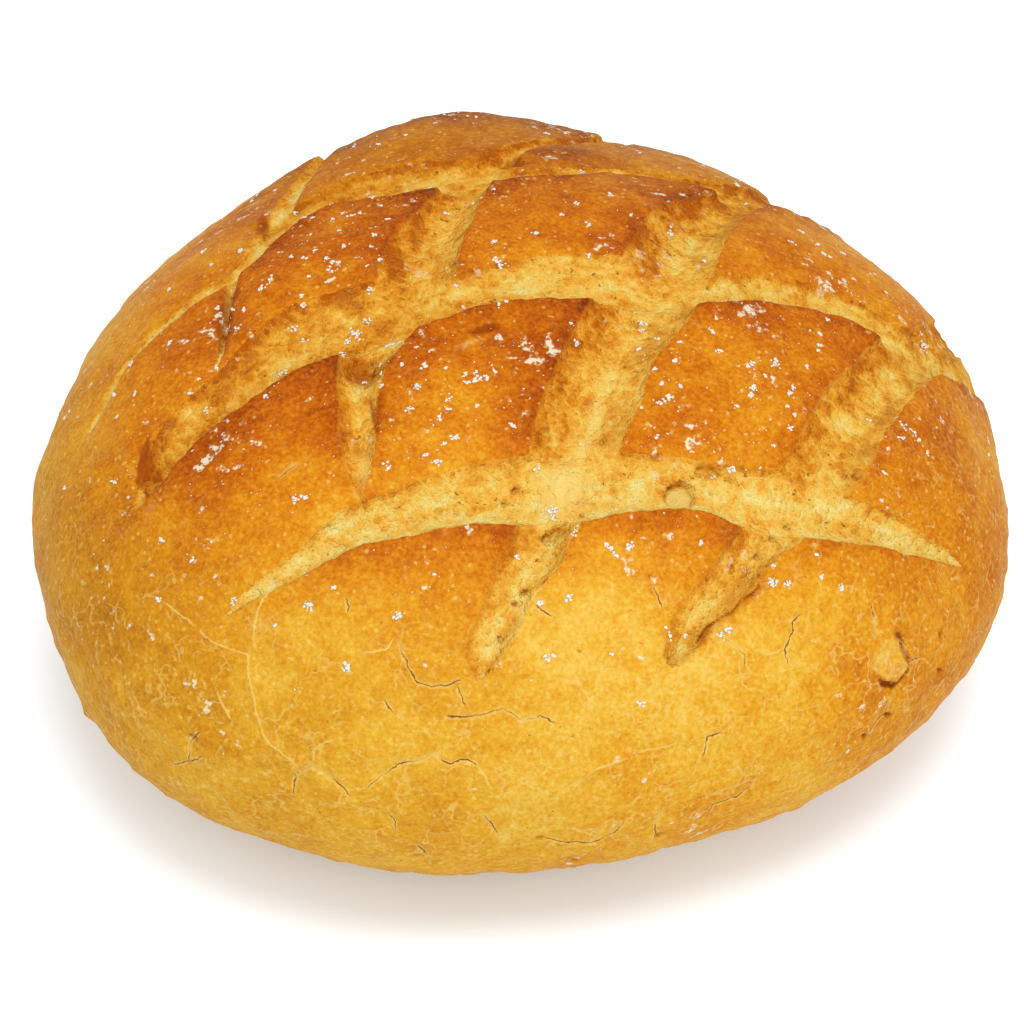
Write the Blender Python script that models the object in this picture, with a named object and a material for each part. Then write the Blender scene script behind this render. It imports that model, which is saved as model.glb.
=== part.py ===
# A round sourdough loaf with a lattice of slashes baked open on its top.
# Metres, +Z up. It stands on its flat underside at z = 0, its long side lies
# along X, and the side where the slashes run out on the flank faces -Y.

import math

import bmesh
import bpy
import numpy as np
from mathutils import Vector, noise

for old in list(bpy.data.objects):
    bpy.data.objects.remove(old, do_unlink=True)

# Whole form
HALF_LENGTH = 0.1217
HALF_DEPTH = 0.1189
WAIST = 0.0533          # height of the widest line round the loaf
CROWN = 0.0734          # rise of the top above that line
UNDERCUT = 1.06         # the underside reaches this far down, then is cut flat
BELLY = 2.6             # squareness of the lower half, 2 is an ellipse
SKEW = 0.018            # swell of the outline towards the back right
THREE_WAY = (0.020, -0.031)
LEAN = (-0.0062, 0.0055)        # the crown sits off the middle of the base
CENTRE = (0.0011, 0.0036)       # middle of the footprint, moved to the origin
LUMPS = ((0.050, 0.0011), (0.021, 0.0004))      # size and height of the swells

# Slashes. Each station is a tilt from the peak in degrees, to the right and to
# the back, with the half-width of the open slash there in millimetres.
ROWS = {
    "front": [(-36, -50.5, 0.6), (-33, -49, 1.5), (-27.5, -47, 2.6), (-23, -45, 3.7),
              (-18.5, -42.5, 5.2), (-12, -41.5, 6.2), (-6, -40.5, 7.2), (0, -40, 8.6), (7, -40, 9.2),
              (15.5, -38, 8.3), (25, -36.5, 7), (33, -36.5, 8.5), (41, -35.5, 7.6), (50, -34.5, 5.6),
              (58, -34, 4), (64, -33.5, 2), (69, -33, 0.5)],
    "middle": [(-47.5, -32, 2), (-45, -30, 3.6), (-41.5, -26.5, 6.3), (-37, -22.5, 7.8),
               (-30, -18.5, 8.5), (-22.5, -13.5, 12), (-15, -11.5, 12), (-7, -9.8, 9), (-3, -9, 7.6),
               (3, -7.5, 8.5), (10, -5.5, 9.3), (17.5, -5, 8.5), (24.5, -4.5, 6), (31, -2, 6),
               (38, 0, 6.6), (45, 1, 6.5), (51, 0.5, 6.5), (57.5, 1, 6.8), (64, 4, 6), (72, 8, 4.5),
               (80, 13, 2), (86, 17, 0.6)],
    "back": [(-57, -15, 0.5), (-54, -12, 1.8), (-50, -7, 2.2), (-44, -3.5, 2.6), (-38, -0.5, 2.7),
             (-33.5, 2, 3.6), (-30, 7.5, 4), (-27, 13.5, 7), (-22, 16, 7.5), (-15.5, 17, 10),
             (-9, 17, 11), (-2, 16, 8), (3, 16, 3.5), (8, 18, 3.7), (13, 21, 2.8), (18.5, 23, 3.2),
             (22.5, 23.5, 5), (28, 24.5, 7), (34, 26.5, 7), (42, 31, 6), (52, 37, 4.5), (64, 44, 0.8)],
    "rear": [(-48, 24, 0.8), (-36, 34, 4.5), (-19, 42, 7), (-1, 45, 8), (17, 48, 7), (36, 55, 5),
             (52, 64, 0.8)],
}
CROSSCUTS = {
    "left": [(-11, 78, 0.8), (-14, 64, 5.5), (-19, 49, 7), (-25, 34.5, 6), (-28, 26, 5), (-31, 17, 4),
             (-32.5, 8, 2.4), (-33, -1, 1.3), (-33, -14, 0.8)],
    "middle left": [(20, 78, 0.8), (16, 62, 6), (10, 45, 7), (4, 33, 6), (0, 24.5, 5.4), (-3, 16, 7),
                    (-4.5, 9.5, 6.2), (-8, 1, 8.9), (-8.5, -5, 9.6), (-11, -12, 8), (-14.5, -18.5, 6),
                    (-15.6, -25, 4.5), (-16.2, -33, 3.5), (-16.8, -38, 1)],
    "middle right": [(53, 74, 0.8), (49, 62, 7), (43, 48, 9.5), (38, 40, 11), (34.5, 32.5, 12),
                     (28, 16.5, 13.3), (22, 5.5, 13), (19, -4, 12), (16, -12, 11), (14, -17.5, 10.5),
                     (12.5, -24, 11), (10.5, -30, 11), (8.5, -37, 9.2), (6, -45, 7), (4, -49.5, 6.3),
                     (1.3, -53.5, 5.5), (-0.6, -58, 5), (-3.2, -63, 4.2), (-4.2, -66, 2)],
    "right": [(80, 36, 0.8), (74, 26, 5), (68, 16, 6), (63, 8.5, 6.5), (58, 1.5, 7), (52, -5, 8),
              (48, -11.5, 8.2), (44.5, -18, 9.2), (42.5, -24, 9.6), (40.5, -30, 9), (37, -38, 6.8),
              (33.5, -43.5, 5.7), (31.5, -48.5, 5.2), (29.5, -52, 5.2), (27.5, -55.5, 4.9),
              (26, -59, 4.8), (24.5, -62, 3.2)],
}
ROW_DEPTH = (0.62, 0.0052, 0.0032)      # per half-width, most on the crown, most on the flanks
CROSS_DEPTH = (0.48, 0.0042, 0.0023)
FLANK = (28, 48)                # tilts in degrees between which it changes
# Section of a slash from its near or left edge (-1) to its far or right edge (1),
# as shares of the depth: a row is deepest under its raised near lip.
ROW_SECTION = ((-1, 0), (-0.8, -0.66), (-0.62, -0.96), (-0.4, -1), (0.1, -0.84), (0.55, -0.66),
               (0.86, -0.42), (1, 0))
CROSS_SECTION = ((-1.1, 0), (-0.92, -0.10), (-0.72, -0.32), (-0.4, -0.66), (0, -0.92), (0.2, -1),
                 (0.45, -0.80), (0.8, -0.50), (0.9, -0.34), (1, 0))
# The crosscuts run out softly down the front, the right one as a gouge
LOW_END = (-36, -46)            # tilts to the back between which the section changes
DIP_SECTION = ((-1.2, 0), (-0.7, -0.28), (-0.2, -0.62), (0.15, -0.85), (0.4, -1), (0.65, -0.7), (1, 0))
GOUGE_SECTION = ((-1.2, 0), (-0.8, -0.22), (-0.3, -0.55), (0.3, -0.95), (0.65, -1.2), (0.9, -1.0), (1, 0))
ROW_LIPS = (0.0017, -0.0005)    # rise of the crust at the near and the far edge
CROSS_LIPS = (0.0008, 0.0003)
MELT = 0.0009                   # how softly two slashes join
LIP_REACH = 0.0075
PUFF = 0.0011                   # the crust between slashes is domed
PUFF_REACH = 0.014

# Bubbles and hollows in the slashes, then broad swells and flats of the whole
# loaf: tilt right, tilt back, radius and rise.
SPOTS = (
    (8.5, -39, 0.0062, 0.0030),
    (6.5, -43, 0.0040, 0.0014),
    (-14, -22, 0.0047, -0.0024),
    (-43, -28, 0.0050, -0.0018),
    (23.5, -37.9, 0.0036, -0.0018),
    (2, 19, 0.0030, -0.0020),
    (70, 18, 0.024, 0.0020),
    (88, -8, 0.024, -0.0008),
    (13, 42, 0.024, -0.0019),
    (-8, 39, 0.024, 0.0022),
    (-28, 44, 0.024, -0.0013),
    (-49, 33, 0.024, -0.0010),
    (-80, -15, 0.024, 0.0015),
    (-89, -39, 0.024, -0.0015),
    (-55, -103, 0.024, -0.0011),
    (23, -117, 0.024, 0.0009),
    (57, -103, 0.024, -0.0008),
)

GRID = 110               # cuts along each edge of the starting cube
TRIANGLES = 10800
SPLINE_STEPS = 8


def loaf_surface(direction):
    """Point of the plain loaf, without slashes, in each unit direction."""
    flat = np.hypot(direction[:, 0], direction[:, 1])
    bearing = np.arctan2(direction[:, 1], direction[:, 0])
    upright = direction[:, 2]
    power = np.where(upright >= 0, 1.0, 2 / BELLY)
    out = np.maximum(flat, 1e-12) ** power
    rise = np.abs(upright) ** power
    outline = ((np.cos(bearing) / HALF_LENGTH) ** 2 + (np.sin(bearing) / HALF_DEPTH) ** 2) ** -0.5
    outline = outline * (1 + SKEW * np.sin(2 * bearing) + THREE_WAY[0] * np.cos(3 * bearing)
                         + THREE_WAY[1] * np.sin(3 * bearing))
    up = np.where(upright >= 0, rise, 0)
    x = outline * out * np.cos(bearing) + LEAN[0] * up - CENTRE[0]
    y = outline * out * np.sin(bearing) + LEAN[1] * up - CENTRE[1]
    z = np.where(upright >= 0, WAIST + CROWN * rise, WAIST - UNDERCUT * WAIST * rise)
    return np.stack([x, y, z], axis=1)


def loaf_normal(direction, step=1e-3):
    """Outward normal of the plain loaf, from neighbouring directions."""
    side = np.where(np.abs(direction[:, 2:3]) > 0.9, [[1.0, 0, 0]], [[0, 0, 1.0]])
    first = np.cross(direction, side)
    first /= np.linalg.norm(first, axis=1, keepdims=True)
    second = np.cross(direction, first)

    def moved(along):
        ahead = direction + along * step
        return loaf_surface(ahead / np.linalg.norm(ahead, axis=1, keepdims=True))

    normal = np.cross(moved(first) - moved(-first), moved(second) - moved(-second))
    return normal / np.linalg.norm(normal, axis=1, keepdims=True)


def tilted(east, north):
    """Unit direction tilted from straight up by so many degrees right and back."""
    east, north = np.radians(east), np.radians(north)
    tilt, bearing = np.hypot(east, north), np.arctan2(north, east)
    return np.stack([np.sin(tilt) * np.cos(bearing), np.sin(tilt) * np.sin(bearing),
                     np.cos(tilt)], axis=-1)


def smooth_run(stations):
    """Catmull-Rom curve through the stations of a slash."""
    knots = np.array([stations[0], *stations, stations[-1]], dtype=float)
    points = []
    for i in range(1, len(knots) - 2):
        a, b, c, d = knots[i - 1:i + 3]
        for t in np.arange(SPLINE_STEPS) / SPLINE_STEPS:
            points.append(0.5 * (2 * b + (c - a) * t + (2 * a - 5 * b + 4 * c - d) * t ** 2
                                 + (3 * b - a - 3 * c + d) * t ** 3))
    points.append(knots[-2])
    return np.array(points)


def smooth_step(values, low, high):
    share = np.clip((values - low) / (high - low), 0, 1)
    return share * share * (3 - 2 * share)


def across_slash(points, normals, stations, depths):
    """Signed distance across a slash, then its half-width, depth and tilt at the nearest place."""
    run = smooth_run(stations)
    line = loaf_surface(tilted(run[:, 0], run[:, 1]))
    half = np.maximum(run[:, 2], 0.3) * 0.001
    per_width, crown, flank = depths
    limit = crown + (flank - crown) * smooth_step(np.hypot(run[:, 0], run[:, 1]), *FLANK)
    deep = np.minimum(per_width * half, limit)
    nearest = np.full(len(points), 1e9)
    across = np.zeros(len(points))
    width = np.zeros(len(points))
    depth = np.zeros(len(points))
    north = np.zeros(len(points))
    for i in range(len(line) - 1):
        along = line[i + 1] - line[i]
        share = np.clip((points - line[i]) @ along / (along @ along), 0, 1)
        offset = points - line[i] - share[:, None] * along
        distance = np.linalg.norm(offset, axis=1)
        side = np.sign(np.einsum("ij,ij->i", offset, np.cross(normals, along)))
        closer = distance < nearest
        nearest[closer] = distance[closer]
        across[closer] = (distance * side)[closer]
        width[closer] = (half[i] + share * (half[i + 1] - half[i]))[closer]
        depth[closer] = (deep[i] + share * (deep[i + 1] - deep[i]))[closer]
        north[closer] = (run[i, 1] + share * (run[i + 1, 1] - run[i, 1]))[closer]
    return across, width, depth, north


def relief(points, normals):
    """Height of the baked skin over the plain loaf: slashes, lips, puffed crust."""
    slashes = [(run, ROW_DEPTH, ROW_SECTION, ROW_SECTION, ROW_LIPS) for run in ROWS.values()]
    slashes += [(run, CROSS_DEPTH, CROSS_SECTION, GOUGE_SECTION if name == "right" else DIP_SECTION,
                 CROSS_LIPS) for name, run in CROSSCUTS.items()]
    melted = np.ones(len(points))
    lips = np.zeros(len(points))
    open_share = np.zeros(len(points))
    to_edge = np.full(len(points), 1.0)
    for run, depths, section, end_section, lip in slashes:
        across, half, depth, north = across_slash(points, normals, run, depths)
        place = across / half
        low_end = smooth_step(north, *LOW_END)
        cut = np.interp(place, *zip(*section)) * (1 - low_end)
        cut = (cut + np.interp(place, *zip(*end_section)) * low_end) * depth
        melted += np.exp(-cut / MELT) - 1
        outside = np.abs(across) - half
        rise = np.where(across < 0, lip[0], lip[1]) * np.minimum(1, half / 0.006)
        rise = rise * np.exp(-np.maximum(outside, 0) / LIP_REACH) * np.clip(1 + outside / 0.002, 0, 1)
        lips = np.where(np.abs(rise) > np.abs(lips), rise, lips)
        open_share = np.maximum(open_share, np.clip(-outside / 0.0015, 0, 1))
        to_edge = np.minimum(to_edge, np.maximum(outside, 0))
    puffed = PUFF * (1 - np.exp(-to_edge / PUFF_REACH))
    height = -MELT * np.log(melted) + lips * (1 - open_share) + puffed
    for east, north, radius, rise in SPOTS:
        spot = loaf_surface(tilted(np.array([east]), np.array([north])))
        away = np.linalg.norm(points - spot, axis=1)
        height += rise * np.exp(-(away / radius) ** 2)
    for size, swell in LUMPS:
        height += swell * np.array([noise.noise(Vector(p / size)) for p in points])
    return height


# The loaf: a cube divided into a grid and mapped onto the baked form
mesh = bpy.data.meshes.new("loaf")
bm = bmesh.new()
bmesh.ops.create_cube(bm, size=2.0)
bmesh.ops.subdivide_edges(bm, edges=bm.edges[:], cuts=GRID, use_grid_fill=True)
grid = np.array([v.co[:] for v in bm.verts])
grid = np.tan(grid * math.pi / 4)       # evens out the squares on the round form
direction = grid / np.linalg.norm(grid, axis=1, keepdims=True)
plain = loaf_surface(direction)
normal = loaf_normal(direction)
if np.einsum("ij,ij->i", normal, direction).mean() < 0:
    normal = -normal
skin = plain + normal * relief(plain, normal)[:, None]
for vert, place in zip(bm.verts, skin):
    vert.co = place
bmesh.ops.recalc_face_normals(bm, faces=bm.faces[:])
bm.to_mesh(mesh)
bm.free()

whole = bpy.data.objects.new("loaf_whole", mesh)
bpy.context.scene.collection.objects.link(whole)
lighten = whole.modifiers.new("lighten", "DECIMATE")
lighten.ratio = TRIANGLES / (2 * len(mesh.polygons))
bpy.context.view_layer.update()
shape = bpy.data.meshes.new_from_object(whole.evaluated_get(bpy.context.evaluated_depsgraph_get()))
bpy.data.objects.remove(whole, do_unlink=True)

# The underside is cut flat where the loaf lay on the oven floor
bm = bmesh.new()
bm.from_mesh(shape)
everything = bm.verts[:] + bm.edges[:] + bm.faces[:]
flat = bmesh.ops.bisect_plane(bm, geom=everything, dist=1e-5, plane_co=(0, 0, 0),
                              plane_no=(0, 0, 1), clear_inner=True)
rim = [e for e in flat["geom_cut"] if isinstance(e, bmesh.types.BMEdge)]
for edge in rim:
    for vert in edge.verts:
        vert.co.z = 0.0
base = bmesh.ops.contextual_create(bm, geom=rim)["faces"]
bmesh.ops.triangulate(bm, faces=base)
bmesh.ops.recalc_face_normals(bm, faces=bm.faces[:])
bm.to_mesh(shape)
bm.free()
shape.name = "loaf"
shape.shade_smooth()
shape.set_sharp_from_angle(angle=math.radians(50))

crust = bpy.data.materials.new("crust")
crust.use_nodes = True
look = crust.node_tree.nodes["Principled BSDF"]
look.inputs["Base Color"].default_value = (0.58, 0.27, 0.055, 1)
look.inputs["Roughness"].default_value = 0.62
look.inputs["Metallic"].default_value = 0.0
shape.materials.clear()
shape.materials.append(crust)

parts = bpy.data.collections.new("sourdough loaf")
bpy.context.scene.collection.children.link(parts)
loaf = bpy.data.objects.new("loaf", shape)
parts.objects.link(loaf)
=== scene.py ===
import math

import bpy
import numpy as np
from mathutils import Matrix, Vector, noise
from mathutils.bvhtree import BVHTree


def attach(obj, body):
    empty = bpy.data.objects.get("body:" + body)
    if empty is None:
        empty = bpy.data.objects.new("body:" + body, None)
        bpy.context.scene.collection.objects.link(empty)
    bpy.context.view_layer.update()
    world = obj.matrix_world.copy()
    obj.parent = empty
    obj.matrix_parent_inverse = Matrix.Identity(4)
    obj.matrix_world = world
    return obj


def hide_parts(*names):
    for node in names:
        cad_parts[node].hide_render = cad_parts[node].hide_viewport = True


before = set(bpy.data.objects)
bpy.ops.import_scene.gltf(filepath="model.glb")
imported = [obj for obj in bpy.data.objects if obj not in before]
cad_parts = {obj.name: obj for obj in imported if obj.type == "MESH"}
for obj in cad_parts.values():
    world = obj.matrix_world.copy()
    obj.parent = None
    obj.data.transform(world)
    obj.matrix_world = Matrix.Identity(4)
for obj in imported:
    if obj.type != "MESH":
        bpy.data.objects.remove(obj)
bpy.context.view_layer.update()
print("loaded the solid loaf")


# The whole loaf, in metres. A tilt is in degrees from the peak, to the right and to the back.
loafForm = {
    "halfLength": 0.1217,
    "halfDepth": 0.1189,
    "waist": 0.0533,            # height of the widest line
    "crown": 0.0734,            # rise of the top above it
    "undercut": 1.06,
    "belly": 2.6,               # squareness of the lower half
    "skew": 0.018,
    "threeWay": (0.020, -0.031),
    "lean": (-0.0062, 0.0055),
    "centre": (0.0011, 0.0036),
    "lumps": ((0.050, 0.0011), (0.021, 0.0004)),    # size and height
    "flankGrain": (0.0050, 0.0006),
    "swells": (                 # tilt right, tilt back, radius, rise
        (70, 18, 0.024, 0.0020), (88, -8, 0.024, -0.0008), (13, 42, 0.024, -0.0019),
        (-8, 39, 0.024, 0.0022), (-24.5, 45, 0.012, -0.0011), (-28, 44, 0.024, -0.0013),
        (-49, 33, 0.024, -0.0010),
        (-80, -15, 0.024, 0.0015), (-89, -39, 0.024, -0.0015), (-55, -103, 0.024, -0.0011),
        (23, -117, 0.024, 0.0009), (57, -103, 0.024, -0.0008),
    ),
    "gridCuts": 74,             # quads along each side of the starting cube
}

# Stations of each slash: tilt right, tilt back, half-width in millimetres
slashForm = {
    "rows": {
        "front": [(-36, -50.5, 0.6), (-33, -49, 1.5), (-27.5, -47, 2.6), (-23, -45, 3.7),
                  (-18.5, -42.5, 5.2), (-12, -41.5, 6.2), (-6, -40.5, 7.2), (0, -40, 8.6), (7, -40, 9.2),
                  (15.5, -38, 8.3), (25, -36.5, 7), (33, -36.5, 8.5), (41, -35.5, 7.6),
                  (50, -34.5, 5.6), (58, -34, 4), (64, -33.5, 2), (69, -33, 0.5)],
        "middle": [(-47.5, -32, 2), (-45, -30, 3.6), (-41.5, -26.5, 6.3), (-37, -22.5, 7.8),
                   (-30, -18.5, 8.5), (-22.5, -13.5, 12), (-15, -11.5, 12), (-7, -9.8, 9),
                   (-3, -9, 7.6), (3, -7.5, 8.5), (10, -5.5, 9.3), (17.5, -5, 8.5), (24.5, -4.5, 6),
                   (31, -2, 6), (38, 0, 6.6), (45, 1, 6.5), (51, 0.5, 6.5), (57.5, 1, 6.8),
                   (64, 4, 6), (72, 8, 4.5), (80, 13, 2), (86, 17, 0.6)],
        "back": [(-57, -15, 0.8), (-54, -12, 2.1), (-50, -7, 2.6), (-44, -3.5, 3.0), (-38, -0.5, 3.1),
                 (-33.5, 2, 3.6), (-30, 7.5, 4), (-27, 13.5, 7), (-22, 16, 7.5), (-15.5, 17, 10),
                 (-9, 17, 11), (-2, 16, 8), (3, 16, 3.5), (8, 18, 3.7), (13, 21, 2.8),
                 (18.5, 23, 3.2), (22.5, 23.5, 5), (28, 24.5, 7), (34, 26.5, 7), (42, 31, 6),
                 (52, 37, 4.5), (64, 44, 0.8)],
        "rear": [(-48, 24, 0.8), (-36, 34, 4.5), (-19, 42, 7), (-1, 45, 8), (17, 48, 7), (36, 55, 5),
                 (52, 64, 0.8)],
    },
    "crosscuts": {
        "left": [(-11, 78, 0.6), (-14, 64, 1.2), (-19, 49, 1.4), (-24.5, 34.5, 1.9), (-27, 27, 2.6),
                 (-29.3, 18, 3), (-31.4, 9, 2.4), (-33, -1, 1.3), (-33, -14, 0.8)],
        "middleLeft": [(28, 76, 0.8), (24, 60, 3.6), (17, 45, 3.6), (10, 33.5, 2.8), (4.4, 27, 2.8),
                       (0.6, 21.5, 4), (-2.6, 16, 6.6), (-4.5, 9.5, 6.2), (-8, 1, 8.9),
                       (-8.5, -5, 9.6), (-11, -12, 8), (-14.5, -18.5, 6), (-15.6, -25, 4.5),
                       (-16.2, -33, 3.5), (-16.8, -38, 1)],
        "middleRight": [(55, 74, 0.8), (52, 62, 5), (46, 48, 6.5), (41, 38, 6.5), (36.5, 29, 6),
                        (31, 20, 5.4), (26, 12.5, 8.4), (22, 4.5, 10.6), (19, -4, 11.4),
                        (16, -12, 11), (14, -17.5, 10.5),
                        (12.5, -24, 11), (10.5, -30, 11), (8.5, -37, 9.2), (6, -45, 7), (4, -49.5, 6.3),
                        (1.3, -53.5, 5.5), (-0.6, -58, 5), (-3.2, -63, 4.2), (-4.2, -66, 2)],
        "right": [(80, 36, 0.8), (74, 26, 5), (68, 16, 6), (63, 8.5, 6.5), (58, 1.5, 7), (52, -5, 8),
                  (48, -11.5, 8.2), (44.5, -18, 9.2), (42.5, -24, 9.6), (40.5, -30, 9), (37, -38, 6.8),
                  (33.5, -43.5, 5.7), (31.5, -48.5, 5.2), (29.5, -52, 5.2), (27.5, -55.5, 4.9),
                  (26, -59, 4.8), (24.5, -62, 3.2)],
    },
    "depthPerHalfWidth": (0.62, 0.48),      # rows and crosscuts
    "deepest": ((0.0052, 0.0032), (0.0042, 0.0023)),    # on the crown and on the flanks
    "flank": (28, 48),                      # tilts between which it changes
    "rowSection": ((-1, 0), (-0.8, -0.66), (-0.62, -0.96), (-0.4, -1), (0.1, -0.84), (0.55, -0.66),
                   (0.86, -0.42), (1, 0)),
    "crossSection": ((-1.1, 0), (-0.92, -0.10), (-0.72, -0.32), (-0.4, -0.66), (0, -0.92), (0.2, -1),
                     (0.45, -0.80), (0.8, -0.50), (0.9, -0.34), (1, 0)),
    "gougeSection": ((-1.2, 0), (-0.8, -0.22), (-0.3, -0.55), (0.3, -0.95), (0.65, -1.2), (0.9, -1.0),
                     (1, 0)),               # the low end of the right crosscut
    "dipSection": ((-1.2, 0), (-0.7, -0.28), (-0.2, -0.62), (0.15, -0.85), (0.4, -1), (0.65, -0.7),
                   (1, 0)),                 # and of the others
    "rowLips": (0.0017, -0.0005),           # rise at the near and the far edge
    "crossLips": (0.0008, 0.0003),
    "lipReach": 0.0075,
    "puff": 0.0011,
    "puffReach": 0.014,
    "melt": 0.0009,                         # how softly two slashes join
    "ragged": ((0.0085, 0.0005), (0.0026, 0.00032)),    # size and swing of the torn edge
    "behind": (50, 64, 0.55),               # tilts behind the crown between which a slash gets shallower
}

# Hollows and bubbles: tilt right and back, half sizes in mm, turn, rise in mm, tint (painted shade -, pale
# crumb +)
spotForm = {
    "smooth": (
        (8.5, -39, 6.2, 6.2, 0, 3.0, 0.85), (6.5, -43, 4.0, 4.0, 0, 1.4, 0.3),
        (-14.8, -19.4, 4.6, 4.2, 0, -2.0, -1.6), (-43, -28, 5.0, 5.0, 0, -1.8, -0.2),
        (2.3, 20.2, 2.8, 2.4, 0, -2.0, -1.3), (-84.4, -55, 1.6, 1.6, 0, 1.4, 0),
        (-15.8, -34.3, 2.0, 4.2, 0, 0.7, 0.6), (12.6, -27.5, 2.4, 7.0, -10, -0.5, 0.88),
        (-2.8, -18.4, 3.2, 1.2, 12, 0.3, 0.6), (-33.2, -6.6, 1.2, 6.6, -4, -0.6, -1.5),
        (-32.4, -2.6, 1.9, 2.6, 0, -0.4, -0.8), (-44.6, -25.6, 1.7, 5.4, 10, -0.6, -1.2),
        (-14.1, -26.4, 0.7, 5.4, 4, -0.4, -1.3),
        (-31.8, 14.5, 1.6, 5.5, 6, -1.0, -1.3), (10.8, -33.4, 3.0, 4.6, -30, 0.4, 0.55),
        (68.4, -47.3, 1.1, 1.5, 0, -0.4, 0.5),
        (69.9, -45.7, 0.9, 1.2, 20, -0.7, -0.9),
    ),
    "sunk": (
        (23.5, -37.9, 3.7, 3.7, 0, -2.3, 1.15), (26.4, -33.6, 3.2, 1.6, 8, -1.6, 0.1),
        (7.4, -45.7, 4.6, 1.5, 32, -1.6, -0.55), (6.0, -32.0, 1.3, 3.4, -16, -1.0, -0.1),
        (-1.0, -16.4, 4.2, 1.1, 10, -1.2, -0.6), (12.4, -108.5, 1.4, 0.9, 0, -1.2, -0.5),
        (4.2, -97.0, 1.0, 0.8, 0, -0.9, -0.4), (30.0, -98.1, 0.8, 1.6, 20, -1.1, -0.6),
        (-18.3, -103.2, 2.3, 1.0, 5, -0.8, 0.5), (-51.2, -68.0, 0.8, 1.1, 20, -0.8, -0.5),
        (2.2, -39.2, 1.1, 0.7, 30, -1.1, -0.5), (0.8, -41.0, 0.9, 0.7, 0, -1.0, -0.5),
        (13.4, -31.6, 0.8, 1.4, 10, -1.0, -0.4), (16.7, -10.7, 0.9, 1.2, 20, -1.1, -0.6),
        (21.1, 3.5, 1.1, 0.8, 0, -1.1, -0.5), (25.1, -2.7, 0.9, 0.7, 40, -1.0, -0.4),
        (2.9, -54.2, 1.3, 0.8, 35, -1.3, -0.7), (1.6, -55.8, 0.9, 0.7, 0, -1.0, -0.6),
        (-0.8, -61.0, 0.8, 1.0, 0, -1.0, -0.5), (46.0, -28.0, 0.9, 1.1, 20, -1.1, -0.5),
        (44.0, -25.0, 0.8, 0.7, 0, -0.9, -0.5), (36.5, -41.2, 1.3, 0.9, 45, -1.2, -0.4),
        (38.3, -38.6, 1.1, 0.8, 20, -1.1, -0.4), (34.8, -44.6, 1.1, 0.8, 50, -1.1, -0.5),
        (64.2, -58.0, 0.9, 0.7, 0, -0.9, -0.8), (67.4, -62.0, 1.2, 0.7, 15, -0.9, -0.9),
        (64.1, -67.0, 1.1, 0.8, 0, -1.0, -0.9), (74.6, -50.6, 1.3, 0.6, 20, -0.6, -0.8),
        (77.2, -49.2, 0.8, 0.6, 0, -0.6, -0.8), (-73.8, -55.4, 0.6, 0.8, 0, -0.6, -0.8),
    ),
    # torn steps, low on their right side: run of tilts, then drop in mm and its reach
    "folds": (
        ([(35.5, -47.5), (35.0, -50.0), (33.3, -52.0), (32.2, -54.1), (30.8, -55.4), (29.2, -57.3),
          (28.5, -59.3), (27.5, -61.9)], -1.9, 2.6),
        ([(-33.4, -1.0), (-33.6, -5.3), (-33.4, -8.1), (-33.3, -11.6), (-33.2, -14.3)], -2.0, 2.6),
        ([(-12.6, -20.0), (-13.3, -24.2), (-13.9, -27.8), (-14.4, -31.5)], -1.5, 2.2),
        ([(-42.9, -20.8), (-44.3, -22.6), (-45.6, -25.1), (-46.4, -27.9), (-45.3, -30.5),
          (-43.3, -31.9)], -0.9, 2.0),
    ),
    # a torn chip of crust: its corners as tilts, and the lift of its right edge in mm
    "chip": ([(54.6, -56.7), (54.6, -54.1), (56.4, -51.9), (58.8, -50.0), (60.5, -50.3), (61.5, -51.6),
              (63.1, -52.7), (64.3, -53.4), (64.6, -55.3), (64.2, -57.0), (61.3, -57.6),
               (57.6, -57.0)], 0.65),
}

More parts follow.
